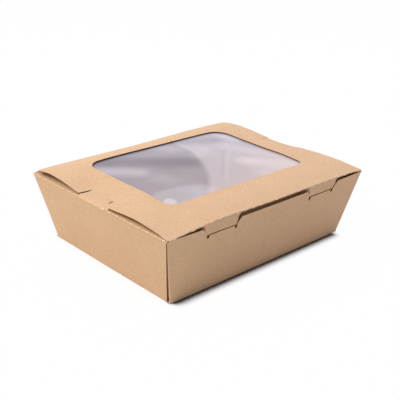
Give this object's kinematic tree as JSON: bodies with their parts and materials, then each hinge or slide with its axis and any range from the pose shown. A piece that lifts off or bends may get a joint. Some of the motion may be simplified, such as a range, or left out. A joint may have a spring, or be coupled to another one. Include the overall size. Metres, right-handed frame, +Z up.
{
  "type": "kraft window box",
  "caption": "Folded kraft board food box with sloping walls, a hinged lid with a clear film window, and a tuck flap that slots behind the front wall.",
  "frame": {"origin": "middle of the base's underside", "axes": "+X along the long side, +Y from the front wall with the locks to the hinge, +Z up"},
  "size_m": [0.19, 0.15, 0.0603],
  "materials": {
    "kraft_board": "matt kraft outside, white coated inside",
    "window_film": "clear glossy film, slightly wavy"
  },
  "bodies": {
    "tray": {"tray": "kraft_board"},
    "lid": {"lid": "kraft_board", "window_film": "window_film"}
  },
  "joints": [
    {"name": "lid_hinge", "type": "hinge", "parent": "tray", "child": "lid", "pos_m": [0, 0.075, 0.05], "axis": [-1, 0, 0], "range_deg": [0, 180]}
  ]
}
